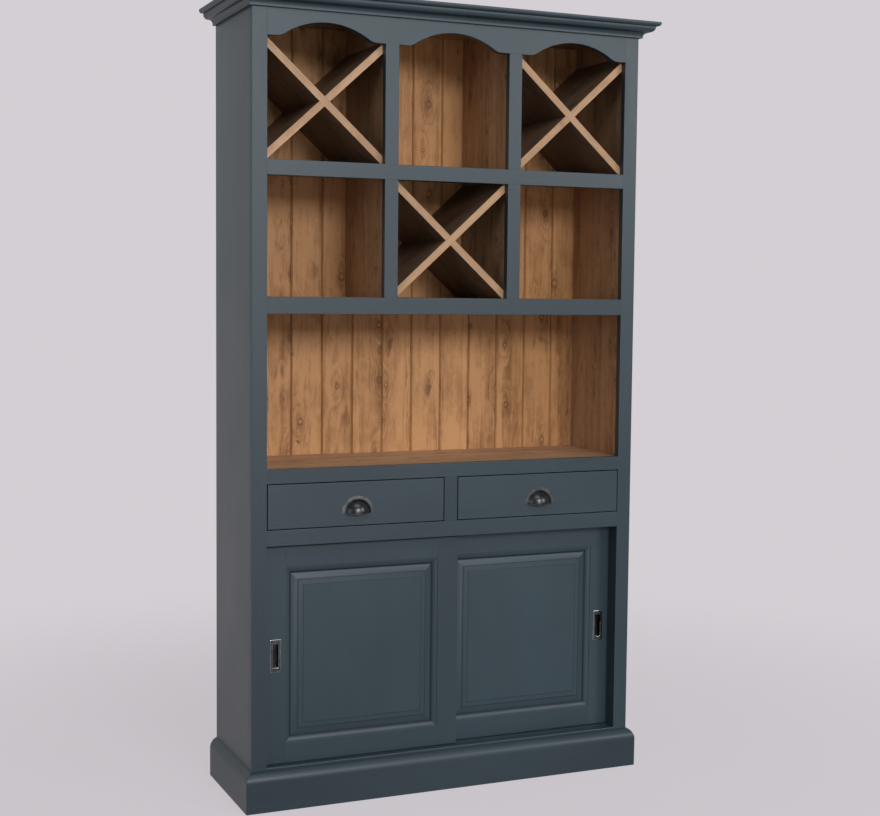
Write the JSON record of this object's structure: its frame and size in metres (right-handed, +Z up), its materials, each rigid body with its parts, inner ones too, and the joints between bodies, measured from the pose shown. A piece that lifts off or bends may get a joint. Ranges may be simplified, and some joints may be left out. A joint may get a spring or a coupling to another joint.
{
  "type": "bar counter",
  "caption": "Tall painted wooden bar counter with an open serving niche, crossed bottle racks above it, drawers with cup pulls and a cupboard with sliding raised-panel doors.",
  "frame": {"origin": "on the floor, in the middle of the whole outline as the cap board sets it", "axes": "+X to the right seen from the front, +Y to the back, +Z up; the front faces -Y"},
  "size_m": [1.266, 0.406, 2.206],
  "materials": {
    "painted_wood": "satin slate paint on pine",
    "pine": "waxed pine",
    "pale_pine": "waxed pale pine",
    "nickel": "polished nickel plate"
  },
  "bodies": {
    "carcass": {"plinth_front": "painted_wood", "plinth_left": "painted_wood", "plinth_right": "painted_wood", "side_left": "painted_wood", "side_right": "painted_wood", "stile_left": "painted_wood", "stile_right": "painted_wood", "rail_sill": "painted_wood", "rail_drawer": "painted_wood", "rail_counter": "painted_wood", "rail_lower": "painted_wood", "rail_upper": "painted_wood", "valance": "painted_wood", "muntins_lower": "painted_wood", "muntins_upper": "painted_wood", "drawer_post": "painted_wood", "board_bottom": "pine", "board_dust": "pine", "board_counter": "pine", "shelf_cupboard": "pine", "shelf_lower": "pine", "shelf_upper": "pine", "board_top": "pine", "dividers_lower": "pine", "dividers_upper": "pine", "back_boards": "pale_pine", "rack_left_rise": "pale_pine", "rack_left_fall": "pale_pine", "rack_middle_rise": "pale_pine", "rack_middle_fall": "pale_pine", "rack_right_rise": "pale_pine", "rack_right_fall": "pale_pine", "crown_front": "painted_wood", "crown_left": "painted_wood", "crown_right": "painted_wood", "cap_board": "painted_wood", "drawer_partition": "pine", "drawer_guides": "pine", "door_track": "pine", "door_stops": "painted_wood"},
    "drawer_left": {"drawer_left_front": "painted_wood", "drawer_left_sides": "pine", "drawer_left_back": "pine", "drawer_left_bottom": "pale_pine", "drawer_left_pull": "nickel"},
    "drawer_right": {"drawer_right_front": "painted_wood", "drawer_right_sides": "pine", "drawer_right_back": "pine", "drawer_right_bottom": "pale_pine", "drawer_right_pull": "nickel"},
    "door_left": {"door_left_stiles": "painted_wood", "door_left_rails": "painted_wood", "door_left_panel": "painted_wood", "door_left_pull": "nickel"},
    "door_right": {"door_right_stiles": "painted_wood", "door_right_rails": "painted_wood", "door_right_panel": "painted_wood", "door_right_pull": "nickel"}
  },
  "joints": [
    {"name": "drawer_left_slide", "type": "slide", "parent": "carcass", "child": "drawer_left", "axis": [0, -1, 0], "range_m": [0, 0.25]},
    {"name": "drawer_right_slide", "type": "slide", "parent": "carcass", "child": "drawer_right", "axis": [0, -1, 0], "range_m": [0, 0.25]},
    {"name": "door_left_slide", "type": "slide", "parent": "carcass", "child": "door_left", "axis": [1, 0, 0], "range_m": [0, 0.5098]},
    {"name": "door_right_slide", "type": "slide", "parent": "carcass", "child": "door_right", "axis": [-1, 0, 0], "range_m": [0, 0.5098]}
  ]
}
